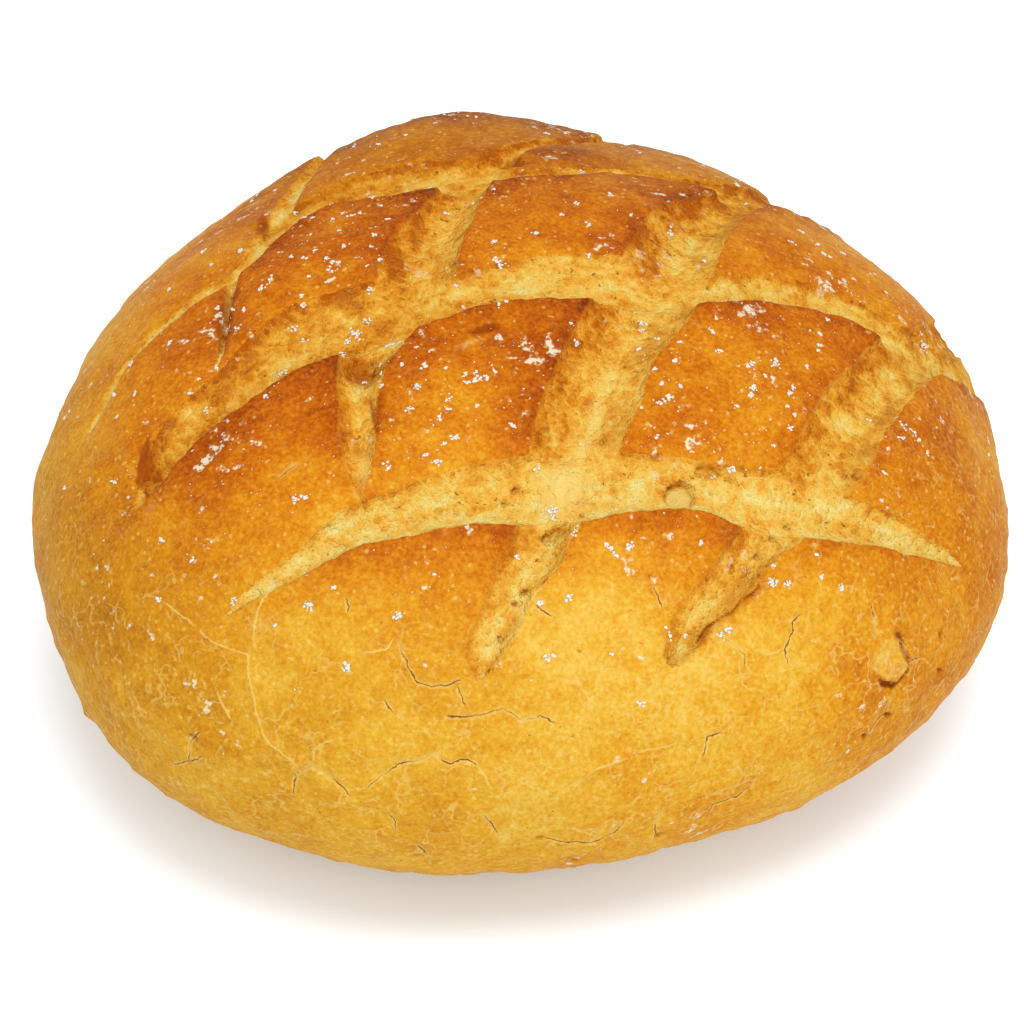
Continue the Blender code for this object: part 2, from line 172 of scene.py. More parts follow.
# Cracks and pale seams of the crust, as runs of tilts
crackForm = {
    "cracks": [
        [(-14.6, -58.7), (-14.1, -61.5), (-13.7, -63.6), (-13.2, -65.5), (-12.3, -66.6), (-10.5, -67),
         (-8.3, -67), (-6.5, -66.4)],
        [(-7.4, -67.1), (-7.1, -68.7), (-6.4, -71.5)],
        [(-10.1, -71.7), (-7.6, -72.4), (-4.6, -72.4), (-1.1, -71.6), (1.6, -73.8), (4.4, -73.1),
         (7.4, -74.7)],
        [(-18.1, -67.9), (-17.7, -69.3), (-17.2, -70.5)],
        [(-36.6, -78.1), (-34.9, -77.8), (-32.3, -76.8), (-31, -79.1), (-29.3, -81.5), (-28.3, -84.5)],
        [(-26.2, -83.5), (-22.1, -81.2), (-18.3, -79.3), (-14.9, -78.8), (-12.6, -78.1), (-10.8, -80),
         (-7.8, -79.8), (-5.7, -81.2)],
        [(-20.1, -51.8), (-20, -53.2), (-20.3, -54.4)],
        [(20.1, -52.4), (21.1, -54), (22, -56.1)],
        [(4, -56.2), (5.4, -57.2), (6.6, -58.1)],
        [(-23, -87.9), (-22.3, -89.5), (-22.8, -91.9)],
        [(-20.1, -95.9), (-19.2, -99), (-19, -102.3)],
        [(29.8, -100.5), (27.7, -94), (27.1, -88.2)],
        [(38.9, -91.8), (38.2, -88.1), (42.6, -85.8), (44.9, -82.7)],
        [(4.2, -97), (8.5, -98.8), (14.9, -99.4), (19.7, -96.9), (20.4, -91.9)],
        [(-7, -90), (-5.4, -91.9), (-3.6, -96.7), (-1.7, -95.2)],
        [(59.3, -49.6), (62.1, -50.8), (63.8, -52.5), (65.1, -54.1), (64.6, -56.5), (64.0, -57.7)],
        [(64.8, -53.3), (65.7, -52.2), (67.5, -51.1)],
        [(64.3, -59.0), (65.7, -61.3), (66.6, -62.2), (65.0, -63.8), (65.0, -65.9), (64.1, -67.0)],
        [(52.7, -46.7), (53.5, -47.8), (54.4, -49.0), (55.4, -50.3), (56.3, -51.4)],
        [(42.2, -51.7), (41.1, -53.5), (41.6, -55.2), (41.2, -57.9), (41.8, -59.3), (42.8, -60.8)],
        [(31.8, -58.7), (33.4, -59.3), (35.1, -60.3), (35.9, -62.9)],
        [(34.7, -74.3), (33.4, -74.9), (32.1, -75.4), (32.3, -77.0), (32.2, -79.8)],
        [(-34.7, -77.4), (-36.3, -78.4), (-37.4, -79.9), (-38.5, -81.9)],
        [(-48.8, -67.1), (-50.5, -67.7), (-52.8, -68.6), (-54.0, -70.2), (-55.7, -71.5)],
        [(-61.3, -70.7), (-57.4, -71.1), (-54.3, -71.7), (-50.9, -71.2)],
        [(-22.8, -31.9), (-24.1, -32.7), (-26.0, -33.7)],
    ],
    "seams": [
        [(-41.7, -51.4), (-40.0, -53.7), (-38.5, -55.1), (-36.9, -56.1), (-35.2, -57.3), (-36.1, -60.1),
         (-36.9, -64.6), (-37.7, -68.1), (-37.9, -71.5), (-36.4, -73.5), (-34.7, -77.4)],
        [(-32.5, -77.4), (-30.9, -74.2), (-28.5, -73.1), (-25.2, -73), (-21, -72), (-17.7, -70.9)],
        [(-8.8, -80.6), (-6.4, -80.3), (-5.1, -83), (-4.6, -86.2)],
        [(9.2, -87.2), (12.5, -83.1), (20.9, -79.4), (29.4, -76.7)],
        [(-27.8, -47.6), (-30.8, -49.8), (-32.5, -52.4), (-34.2, -56.6)],
        [(-20.4, -60.4), (-16.3, -60.4), (-14.7, -58.7)],
        [(-45.7, -46.1), (-43.3, -49), (-40.9, -51.9)],
        [(-42.1, -61.3), (-42.2, -62.6), (-42.2, -64.0), (-42.0, -65.6), (-41.9, -67.2)],
        [(64.0, -57.7), (64.3, -59.0), (65.7, -61.3), (66.6, -62.2)],
        [(35.8, -58.9), (37.2, -59.4), (38.6, -59.6), (39.8, -59.1), (40.7, -58.1)],
    ],
    "crackDepth": 0.00035,
    "seamRise": 0.00025,
}


def clearSelection():
    if bpy.context.object and bpy.context.object.mode != "OBJECT":
        bpy.ops.object.mode_set(mode="OBJECT")
    bpy.ops.object.select_all(action="DESELECT")


def smoothStep(x, low, high):
    t = np.clip((x - low) / (high - low), 0, 1)
    return t * t * (3 - 2 * t)


def unit(vectors):
    return vectors / np.linalg.norm(vectors, axis=1, keepdims=True)


def grain(points, size, shift=0.0):
    # smooth noise from -1 to 1, with swells of the given size
    return np.array([noise.noise(p) for p in (points / size + shift).tolist()])


def loafSurface(direction):
    form = loafForm
    flat = np.hypot(direction[:, 0], direction[:, 1])
    bearing = np.arctan2(direction[:, 1], direction[:, 0])
    upright = direction[:, 2]
    power = np.where(upright >= 0, 1.0, 2 / form["belly"])
    out = np.maximum(flat, 1e-12) ** power
    rise = np.abs(upright) ** power
    outline = ((np.cos(bearing) / form["halfLength"]) ** 2
               + (np.sin(bearing) / form["halfDepth"]) ** 2) ** -0.5
    outline = outline * (1 + form["skew"] * np.sin(2 * bearing)
                         + form["threeWay"][0] * np.cos(3 * bearing)
                         + form["threeWay"][1] * np.sin(3 * bearing))
    up = np.where(upright >= 0, rise, 0)
    x = outline * out * np.cos(bearing) + form["lean"][0] * up - form["centre"][0]
    y = outline * out * np.sin(bearing) + form["lean"][1] * up - form["centre"][1]
    z = form["waist"] + np.where(upright >= 0, form["crown"], -form["undercut"] * form["waist"]) * rise
    return np.stack([x, y, z], axis=1)


def loafNormal(direction, step=1e-3):
    side = np.where(np.abs(direction[:, 2:3]) > 0.9, [[1.0, 0, 0]], [[0, 0, 1.0]])
    first = unit(np.cross(direction, side))
    second = np.cross(direction, first)

    def moved(along):
        return loafSurface(unit(direction + along * step))

    normal = unit(np.cross(moved(first) - moved(-first), moved(second) - moved(-second)))
    return normal * np.sign(np.einsum("ij,ij->i", normal, direction).mean())


def tilted(east, north):
    east, north = np.radians(east), np.radians(north)
    tilt, bearing = np.hypot(east, north), np.arctan2(north, east)
    return np.stack([np.sin(tilt) * np.cos(bearing), np.sin(tilt) * np.sin(bearing), np.cos(tilt)],
                    axis=-1)


def smoothRun(stations, steps=8):
    knots = np.array([stations[0], *stations, stations[-1]], dtype=float)
    points = []
    for i in range(1, len(knots) - 2):
        a, b, c, d = knots[i - 1:i + 3]
        for t in np.arange(steps) / steps:
            points.append(0.5 * (2 * b + (c - a) * t + (2 * a - 5 * b + 4 * c - d) * t ** 2
                                 + (3 * b - a - 3 * c + d) * t ** 3))
    points.append(knots[-2])
    return np.array(points)


def nearestOnLine(points, normals, line):
    # signed distance across the line, and how far along it, in segments
    gaps = ((points ** 2).sum(1)[:, None] - 2 * points @ line.T + (line ** 2).sum(1)[None, :])
    nearest = gaps.argmin(axis=1)
    best = np.full(len(points), 1e9)
    across = np.zeros(len(points))
    place = np.zeros(len(points))
    beyond = np.zeros(len(points), dtype=bool)
    for back in (1, 0):
        first = np.clip(nearest - back, 0, len(line) - 2)
        along = line[first + 1] - line[first]
        raw = np.einsum("ij,ij->i", points - line[first], along) / (along ** 2).sum(1)
        share = np.clip(raw, 0, 1)
        offset = points - line[first] - share[:, None] * along
        distance = np.linalg.norm(offset, axis=1)
        side = np.sign(np.einsum("ij,ij->i", offset, np.cross(normals, along)))
        closer = distance < best
        best[closer] = distance[closer]
        across[closer] = (distance * side)[closer]
        place[closer] = (first + share)[closer]
        outside = ((raw < 0) & (first == 0)) | ((raw > 1) & (first == len(line) - 2))
        beyond[closer] = outside[closer]
    return across, place, beyond


def readSlashes(points, normals):
    # every slash seen from each point: distance across, half-width, depth, run along
    form = slashForm
    wobble = sum(swing * grain(points, size, 3.1) for size, swing in form["ragged"])
    seen = []
    for number, kind in enumerate(("rows", "crosscuts")):
        crown, flank = form["deepest"][number]
        for name, stations in form[kind].items():
            run = smoothRun(stations)
            line = loafSurface(tilted(run[:, 0], run[:, 1]))
            half = np.maximum(run[:, 2], 0.3) * 0.001
            down = smoothStep(np.hypot(run[:, 0], run[:, 1]), *form["flank"])
            limit = crown + (flank - crown) * down
            deep = np.minimum(form["depthPerHalfWidth"][number] * half, limit)
            behind = smoothStep(np.hypot(run[:, 0], run[:, 1]), *form["behind"][:2])
            deep = deep * (1 - form["behind"][2] * behind * smoothStep(run[:, 1], 0, 12))
            length = np.concatenate([[0], np.cumsum(np.linalg.norm(np.diff(line, axis=0), axis=1))])
            across, place, _ = nearestOnLine(points, normals, line)
            steps = np.arange(len(line))
            width = np.interp(place, steps, half)
            torn = wobble * np.minimum(1, width / 0.004) * np.minimum(1, np.abs(across) / width)
            seen.append({
                "kind": kind, "name": name, "across": across - np.sign(across) * torn,
                "half": width, "depth": np.interp(place, steps, deep),
                "along": np.interp(place, steps, length),
                "east": np.interp(place, steps, run[:, 0]), "north": np.interp(place, steps, run[:, 1]),
            })
    return seen


def section(knots, place):
    # the section of a slash, with its corners eased
    shares, depths = zip(*knots)
    return sum(np.interp(place + ease, shares, depths) for ease in (-0.06, 0, 0.06)) / 3


def spotFrame(points, east, north, turn=0.0):
    # how far each point lies to the right and to the back of a spot, on turned axes
    spot, right, back = (loafSurface(tilted(np.array([e]), np.array([n])))[0]
                         for e, n in ((east, north), (east + 0.5, north), (east, north + 0.5)))
    right = (right - spot) / np.linalg.norm(right - spot)
    back = (back - spot) - right * np.dot(back - spot, right)
    back = back / np.linalg.norm(back)
    offset = points - spot
    u, v, depth = offset @ right, offset @ back, offset @ np.cross(right, back)
    turn = math.radians(turn)
    return u * math.cos(turn) + v * math.sin(turn), v * math.cos(turn) - u * math.sin(turn), depth


def toSpot(points, east, north):
    return np.sqrt(sum(part ** 2 for part in spotFrame(points, east, north)))


def readRuns(points, normals, runs):
    # signed distance to the nearest of several thin runs, and where it counts
    side = np.full(len(points), 0.01)
    near = np.zeros(len(points))
    best = np.full(len(points), 1e9)
    for run in runs:
        run = np.array(run, dtype=float)
        line = loafSurface(tilted(run[:, 0], run[:, 1]))
        across, place, beyond = nearestOnLine(points, normals, line)
        closer = np.abs(across) < best
        best[closer] = np.abs(across)[closer]
        side[closer] = across[closer]
        ends = np.minimum(place, len(run) - 1 - place)
        there = (1 - smoothStep(np.abs(across), 0.0011, 0.0018)) * (1 - beyond)
        near[closer] = (there * smoothStep(ends, 0, 0.5))[closer]
    return np.clip(side, -0.003, 0.003), near


def withinCorners(u, v, corners):
    # distance to the edges of a polygon, positive inside it
    inside = np.zeros(len(u), dtype=bool)
    best = np.full(len(u), 1e9)
    for (a, b), (c, d) in zip(corners, np.roll(corners, -1, axis=0)):
        share = np.clip(((u - a) * (c - a) + (v - b) * (d - b)) / ((c - a) ** 2 + (d - b) ** 2), 0, 1)
        best = np.minimum(best, np.hypot(u - a - share * (c - a), v - b - share * (d - b)))
        inside ^= ((b > v) != (d > v)) & (u < (c - a) * (v - b) / (d - b + 1e-12) + a)
    return np.where(inside, best, -best)


def addChip(points, height):
    # a scale of crust that has come loose along its right edge
    corners, lift = spotForm["chip"]
    corners = np.array(corners, dtype=float)
    middle = corners.mean(axis=0)
    edge = np.stack(spotFrame(loafSurface(tilted(corners[:, 0], corners[:, 1])), *middle)[:2], axis=1)
    u, v, deep = spotFrame(points, *middle)
    reach = withinCorners(u, v, edge) - 0.1 * np.abs(deep)
    loose = smoothStep(u, -0.0025, 0.0030)
    shadedGap = smoothStep(reach, -0.0019, -0.0010) * (1 - smoothStep(reach, -0.0004, 0.0001)) * loose
    height += lift * 0.001 * smoothStep(reach, -0.0003, 0.0003) * (0.15 + 0.85 * loose) - 0.0012 * shadedGap
    paleness = (0.46 - 0.16 * loose) * smoothStep(reach, 0, 0.0007) * smoothStep(u, -0.0085, -0.0030)
    # the gap under the loose edge is painted dark as its shade
    return paleness - 1.9 * shadedGap


def addSpots(points, normals, height):
    # hollows, bubbles, pores and torn steps, how pale they are, and the shade painted into them
    paleAndShade = np.zeros(len(points))
    for east, north, along, across, turn, rise, shade in spotForm["smooth"]:
        u, v, deep = spotFrame(points, east, north, turn)
        share = np.exp(-(u / along * 1000) ** 2 - (v / across * 1000) ** 2 - (deep / 0.02) ** 2)
        height += rise * 0.001 * share
        paleAndShade += shade * (smoothStep(share, 0.15, 0.6) if shade > 0.9 else share)
    for east, north, along, across, turn, rise, shade in spotForm["sunk"]:
        u, v, deep = spotFrame(points, east, north, turn)
        uneven = 1 + 0.16 * grain(points, 0.0022, east)
        reach = np.sqrt((u / along) ** 2 + (v / across) ** 2 + (deep / 20) ** 2) * 1000 * uneven
        share = 1 - smoothStep(reach, 0.70, 1.06)
        height += rise * 0.001 * share
        # painted shade on the upper inner wall of each sunk spot
        upper = np.clip((v / across - 0.4 * u / along) * 1000, 0, 1)
        shadedWall = smoothStep(reach, 0.55, 0.85) * (1 - smoothStep(reach, 0.95, 1.1)) * upper
        paleAndShade += shade * share - (1.7 if shade > 0.5 else 0.9) * shadedWall
    for run, drop, reach in spotForm["folds"]:
        run = np.array(run, dtype=float)
        line = loafSurface(tilted(run[:, 0], run[:, 1]))
        across, place, beyond = nearestOnLine(points, normals, line)
        ends = smoothStep(np.minimum(place, len(run) - 1 - place), 0, 1.2) * (1 - beyond)
        side = across * np.sign(drop) * -1
        low = smoothStep(side, -0.0003, 0.0004) * np.exp(-np.maximum(side, 0) / reach * 1000)
        height -= abs(drop) * 0.001 * low * ends
        # a painted shadow along the low side of each step
        paleAndShade -= 1.1 * ends * smoothStep(side, -0.0005, 0.0001) * np.exp(-np.maximum(side, 0) / 0.0010)
    return paleAndShade + addChip(points, height)


# How toasted the torn crumb is, from 0 cream to 1 brown, and how olive its walls are
crumbForm = {
    "plain": 0.3,
    "rowShade": ((-1, 0.34), (-0.8, 0.22), (-0.4, 0.36), (0.3, 0.28), (0.75, 0.42), (1, 0.74)),
    "crossShade": ((-1, 0.74), (-0.6, 0.58), (-0.2, 0.42), (0.15, 0.28), (0.5, 0.38), (1, 0.42)),
    "rowOlive": ((0.1, 0.0), (0.7, 0.5), (0.95, 0.5), (1, 0.0)),
    "crossOlive": ((-0.2, 0.1), (0.2, 0.2), (0.6, 0.8), (1, 0.8)),
    "middleRow": ((-50, 0.34), (-12, 0.26), (5, 0.06)),     # tilt right and extra toast
    "backRow": (0.02, 0.20),        # at its left end, and what the rest has more
    "rearRow": 0.14,
    "cross": {"left": -0.12, "right": 0.18, "middleLeft": 0.14, "middleRight": 0.14},
    "crossBehind": {"left": 0.0, "right": 0.20, "middleLeft": 0.20, "middleRight": 0.20},
    "lowEnd": -0.09,
    "fibre": (0.0060, 0.0018, 0.00042),     # length, width and rise of the torn fibres
}


def profile(knots, place):
    return np.interp(place, *zip(*knots))


def bakedSkin(points, normals):
    # height of the skin over the plain loaf, and what the finish needs to know
    form = slashForm
    count = len(points)
    melted = np.ones(count)
    lips, olive, streaks = (np.zeros(count) for _ in range(3))
    weights = np.full(count, 2e-8)
    toast = crumbForm["plain"] * weights
    opening = np.full(count, -0.05)
    sharp = np.full(count, 3.0)
    nearLip, crossLip, farLip = (np.full(count, 0.05) for _ in range(3))
    fibreLength, fibreWidth, fibreRise = crumbForm["fibre"]
    for number, slash in enumerate(readSlashes(points, normals)):
        row = slash["kind"] == "rows"
        across, half, depth = slash["across"], slash["half"], slash["depth"]
        place = across / half
        cut = section(form["rowSection" if row else "crossSection"], place)
        if not row:
            low = smoothStep(slash["north"], -36, -46)
            gouge = section(form["gougeSection" if slash["name"] == "right" else "dipSection"], place)
            cut = cut * (1 - low) + gouge * low
        depthHere = np.minimum(cut * depth, 0)
        lip = form["rowLips" if row else "crossLips"]
        outside = np.abs(across) - half
        rise = np.where(across < 0, lip[0], lip[1]) * np.minimum(1, half / 0.006)
        rise = rise * np.exp(-np.maximum(outside, 0) / form["lipReach"])
        rise = rise * np.clip(1 + outside / 0.002, 0, 1)
        lips = np.where(np.abs(rise) > np.abs(lips), rise, lips)
        if row:
            leftEnd, rest = crumbForm["backRow"]
            shade = profile(crumbForm["rowShade"], place) + {
                "front": 0.0, "middle": profile(crumbForm["middleRow"], slash["east"]),
                "back": leftEnd + rest * smoothStep(slash["east"], -45, -25),
                "rear": crumbForm["rearRow"],
            }[slash["name"]]
            green = profile(crumbForm["rowOlive"], place)
        else:
            shade = profile(crumbForm["crossShade"], place) + crumbForm["cross"][slash["name"]]
            back = smoothStep(slash["north"], 2, 24) * (1 - smoothStep(slash["north"], 34, 52))
            shade = shade + crumbForm["crossBehind"][slash["name"]] * back
            shade = shade + crumbForm["lowEnd"] * smoothStep(slash["north"], -30, -44)
            green = profile(crumbForm["crossOlive"], place)
        weight = depthHere ** 2
        weights += weight
        toast += shade * weight
        olive += green * weight
        along = np.stack([slash["along"] / fibreLength, across / fibreWidth, np.full(count, 7.3 * number)],
                         axis=1)
        streaks += grain(along, 1.0) * weight
        melted += np.exp(-depthHere / form["melt"]) - 1
        blunt = 0.0 if row else smoothStep(-place, -0.1, 0.5) * smoothStep(slash["north"], -36, -50)
        crisp = 3.0 if row else np.where(across < 0, 0.9, 3.0)
        sharp = np.where(-outside > opening, crisp * (1 - 0.62 * blunt), sharp)
        opening = np.maximum(opening, -outside)
        fade = smoothStep(half, 0.0008, 0.004)
        beside = np.maximum(outside, 0) + (1 - fade) * 0.05
        if row:
            nearLip = np.where((across < 0) & (beside < nearLip), beside, nearLip)
            farLip = np.where((across > 0) & (beside < farLip), beside, farLip)
        else:
            crossLip = np.where((across < 0) & (beside < crossLip), beside, crossLip)
    inside = smoothStep(opening, 0, 0.0012)
    height = -form["melt"] * np.log(melted) + lips * (1 - inside)
    height += form["puff"] * (1 - np.exp(-np.maximum(-opening, 0) / form["puffReach"]))
    height += inside * (fibreRise * streaks / weights + 0.00050 * grain(points, 0.0046, 8.8)
                        + 0.00030 * grain(points, 0.0021, 1.2))
    height += (1 - inside) * (0.00045 * grain(points, 0.015, 4.4) + 0.00036 * grain(points, 0.0062, 9.7)
                              + 0.00030 * grain(points, 0.0034, 6.1))
    size, swing = loafForm["flankGrain"]
    height += (1 - inside) * (1 - smoothStep(points[:, 2], 0.055, 0.095)) * swing * grain(points, size, 2.2)
    for east, north, radius, rise in loafForm["swells"]:
        height += rise * np.exp(-(toSpot(points, east, north) / radius) ** 2)
    for size, swell in loafForm["lumps"]:
        height += swell * grain(points, size)
    paleAndShade = addSpots(points, normals, height)
    crackSide, crackNear = readRuns(points, normals, crackForm["cracks"])
    seamSide, seamNear = readRuns(points, normals, crackForm["seams"])
    height -= crackForm["crackDepth"] * np.exp(-(crackSide / 0.0005) ** 2) * crackNear
    height += crackForm["seamRise"] * np.exp(-(seamSide / 0.0007) ** 2) * seamNear
    return height, {
        "opening": opening * 1000, "sharp": sharp, "toast": toast / weights,
        "olive": olive / weights, "fibre": streaks / weights, "paleAndShade": paleAndShade,
        "nearLip": nearLip, "crossLip": crossLip, "farLip": farLip,
        "crackSide": crackSide * 1000, "crackNear": crackNear,
        "seamSide": seamSide * 1000, "seamNear": seamNear,
    }


def readVertices(mesh):
    flat = np.empty(len(mesh.vertices) * 3)
    mesh.vertices.foreach_get("co", flat)
    return flat.reshape(-1, 3)


def writeVertices(mesh, places):
    mesh.vertices.foreach_set("co", places.ravel())
    mesh.update()


def divideNear(loaf, near):
    # divides the faces that touch a chosen vertex
    mesh = loaf.data
    chosen = [any(near[v] for v in face.vertices) for face in mesh.polygons]
    bpy.context.tool_settings.mesh_select_mode = (False, False, True)
    mesh.vertices.foreach_set("select", np.zeros(len(mesh.vertices), dtype=bool))
    mesh.edges.foreach_set("select", np.zeros(len(mesh.edges), dtype=bool))
    mesh.polygons.foreach_set("select", chosen)
    bpy.ops.object.mode_set(mode="EDIT")
    bpy.ops.mesh.subdivide(number_cuts=1)
    bpy.ops.object.mode_set(mode="OBJECT")
    writeVertices(mesh, unit(readVertices(mesh)))


# How dark the crust is baked, from 0 golden to 1 dark brown: tilt right, tilt back, radius, change
bakeForm = {
    "base": 0.30,
    "crown": 0.27,
    "nearLip": (0.21, 0.0075),
    "crossLip": (0.19, 0.0055),
    "farLip": (-0.10, 0.0060),
    "patches": (
        (62, -18, 0.030, 0.22), (75, -45, 0.045, 0.14), (-48, -35, 0.040, 0.10), (15, -75, 0.040, -0.06),
        (-72, -30, 0.050, 0.10), (18, -60, 0.026, -0.14), (44, -58, 0.022, -0.08), (-10, 42, 0.045, 0.06),
        (32, -15, 0.022, -0.14), (-7.5, -30, 0.017, -0.15), (-27, -26, 0.020, -0.05), (5.5, 24, 0.008, 0.17),
        (11, 25.5, 0.008, 0.16), (16, 26.5, 0.007, 0.13), (25.5, 20.5, 0.009, -0.14),
    ),
}


def bakeTone(points, facts):
    form = bakeForm
    tone = form["base"] + form["crown"] * (1 - smoothStep(facts["tilt"], 30, 66))
    tone = tone + form["nearLip"][0] * np.exp(-facts["nearLip"] / form["nearLip"][1])
    tone = tone + form["crossLip"][0] * np.exp(-facts["crossLip"] / form["crossLip"][1])
    tone = tone + form["farLip"][0] * np.exp(-facts["farLip"] / form["farLip"][1])
    for east, north, radius, change in form["patches"]:
        tone = tone + change * np.exp(-(toSpot(points, east, north) / radius) ** 2)
    return tone


def addAttribute(mesh, name, values):
    layer = mesh.attributes.new(name, "FLOAT", "POINT")
    layer.data.foreach_set("value", np.asarray(values, dtype=np.float32))


def closeBase(loaf):
    # the flat underside becomes one face
    mesh = loaf.data
    low = np.abs(readVertices(mesh)[:, 2]) < 1e-6
    clearSelection()
    bpy.context.view_layer.objects.active = loaf
    loaf.select_set(True)
    bpy.context.tool_settings.mesh_select_mode = (False, False, True)
    mesh.vertices.foreach_set("select", np.zeros(len(mesh.vertices), dtype=bool))
    mesh.edges.foreach_set("select", np.zeros(len(mesh.edges), dtype=bool))
    mesh.polygons.foreach_set("select", [all(low[v] for v in face.vertices) for face in mesh.polygons])
    bpy.ops.object.mode_set(mode="EDIT")
    bpy.ops.mesh.dissolve_faces()
    bpy.ops.object.mode_set(mode="OBJECT")


def makeLoaf():
    clearSelection()
    bpy.ops.mesh.primitive_cube_add(size=2, location=(0, 0, 0))
    loaf = bpy.context.object
    loaf.name = loaf.data.name = "sourdoughLoaf"
    bpy.ops.object.mode_set(mode="EDIT")
    bpy.ops.mesh.select_all(action="SELECT")
    bpy.ops.mesh.subdivide(number_cuts=loafForm["gridCuts"] - 1)
    bpy.ops.object.mode_set(mode="OBJECT")
    writeVertices(loaf.data, unit(np.tan(readVertices(loaf.data) * math.pi / 4)))
    for reachOut, reachIn, lineReach, least in ((0.0022, 1.0, 0.002, 0.05), (0.0008, 0.0010, 0.0010, 0.2)):
        direction = readVertices(loaf.data)
        plain, normal = loafSurface(direction), loafNormal(direction)
        seen = readSlashes(plain, normal)
        opening = np.max([s["half"] - np.abs(s["across"]) for s in seen], axis=0)
        near = (opening > -reachOut) & (opening < reachIn)
        for kind in ("cracks", "seams"):
            side, there = readRuns(plain, normal, crackForm[kind])
            near |= (np.abs(side) < lineReach) & (there > 0)
        near |= np.abs(addSpots(plain, normal, np.zeros(len(plain)))) > least
        divideNear(loaf, near)
    direction = readVertices(loaf.data)
    plain, normal = loafSurface(direction), loafNormal(direction)
    height, facts = bakedSkin(plain, normal)
    skin = plain + normal * height[:, None]
    skin[:, 2] = np.maximum(skin[:, 2], 0)
    writeVertices(loaf.data, skin)
    facts["tilt"] = np.degrees(np.arccos(np.clip(direction[:, 2], -1, 1)))
    for name in ("opening", "sharp", "toast", "olive", "fibre", "paleAndShade", "crackSide", "crackNear", "seamSide",
                 "seamNear"):
        addAttribute(loaf.data, name, facts[name])
    addAttribute(loaf.data, "baked", bakeTone(skin, facts))
    addAttribute(loaf.data, "dusted", 1 - smoothStep(facts["tilt"], 42, 78))
    # a duller, less red crust on the flanks, most on the left, and at the back: partly painted shade where
    # the light falls off, partly the crust's own tone
    leftward = smoothStep(-skin[:, 0], -0.06, 0.06)
    flank = smoothStep(facts["tilt"], 42, 76) * (0.25 + 0.75 * leftward)
    addAttribute(loaf.data, "dullAndShaded", np.maximum(flank, 0.75 * smoothStep(skin[:, 1], 0.0, 0.085)))
    closeBase(loaf)
    bpy.ops.object.shade_smooth()
    return loaf


loaf = makeLoaf()
print("shaped the loaf:", sum(len(p.vertices) - 2 for p in loaf.data.polygons), "triangles")


class Value:
    # a socket that takes part in sums
    def __init__(self, look, socket):
        self.look, self.socket = look, socket

    def __add__(self, other):
        return self.look.math("ADD", self, other)

    def __sub__(self, other):
        return self.look.math("SUBTRACT", self, other)

    def __rsub__(self, other):
        return self.look.math("SUBTRACT", other, self)

    def __mul__(self, other):
        return self.look.math("MULTIPLY", self, other)

    __radd__, __rmul__ = __add__, __mul__

    def size(self):
        return self.look.math("ABSOLUTE", self)

    def step(self, low, high, bottom=0.0, top=1.0):
        return self.look.node("ShaderNodeMapRange", {"interpolation_type": "SMOOTHSTEP"},
                              {"Value": self, "From Min": low, "From Max": high, "To Min": bottom,
                               "To Max": top})


class Look:
    # a material and the nodes that feed its shader
    def __init__(self, name):
        self.material = bpy.data.materials.new(name)
        self.material.use_nodes = True
        self.tree = self.material.node_tree
        self.shader = self.tree.nodes["Principled BSDF"]

    def node(self, kind, settings=None, inputs=None, output=0):
        made = self.tree.nodes.new(kind)
        for key, setting in (settings or {}).items():
            setattr(made, key, setting)
        for key, value in (inputs or {}).items():
            self.feed(made.inputs[key], value)
        return Value(self, made.outputs[output])

    def feed(self, socket, value):
        if isinstance(value, Value):
            self.tree.links.new(value.socket, socket)
        else:
            socket.default_value = value

    def math(self, operation, *values):
        return self.node("ShaderNodeMath", {"operation": operation}, dict(enumerate(values)))

    def attribute(self, name):
        return self.node("ShaderNodeAttribute", {"attribute_name": name}, output=2)

    def speckle(self, where, size, detail=2.0, rough=0.5, shift=0.0):
        # noise with grains of the given size in metres
        moved = self.node("ShaderNodeVectorMath", {"operation": "ADD"}, {0: where, 1: (shift, shift, shift)})
        return self.node("ShaderNodeTexNoise", None,
                         {"Vector": moved, "Scale": 1 / size, "Detail": detail, "Roughness": rough})

    def moved(self, where, sway, reach):
        # coordinates pushed about by a noise
        return self.node("ShaderNodeVectorMath", {"operation": "MULTIPLY_ADD"},
                         {0: sway, 1: (reach,) * 3, 2: where})

    def dots(self, where, spacing, size, share):
        # scattered specks: spacing in metres, size in spacings, share of them that is left out
        cells = self.node("ShaderNodeTexVoronoi", None, {"Vector": where, "Scale": 1 / spacing})
        kept = Value(self, cells.socket.node.outputs[1]).step(share, share + 0.05)
        return cells.step(size, size * 0.5) * kept

    def mix(self, share, first, second):
        return self.node("ShaderNodeMix", {"data_type": "RGBA"}, {0: share, 6: first, 7: second},
                         output=2)

    def ramp(self, share, stops):
        ramped = self.node("ShaderNodeValToRGB", None, {"Fac": share})
        elements = ramped.socket.node.color_ramp.elements
        while len(elements) < len(stops):
            elements.new(0.5)
        for element, (place, colour) in zip(elements, stops):
            element.position, element.color = place, paint(colour)
        return ramped

    def blend(self, share, first, second):
        return self.node("ShaderNodeMix", {"data_type": "FLOAT"}, {0: share, 2: first, 3: second})


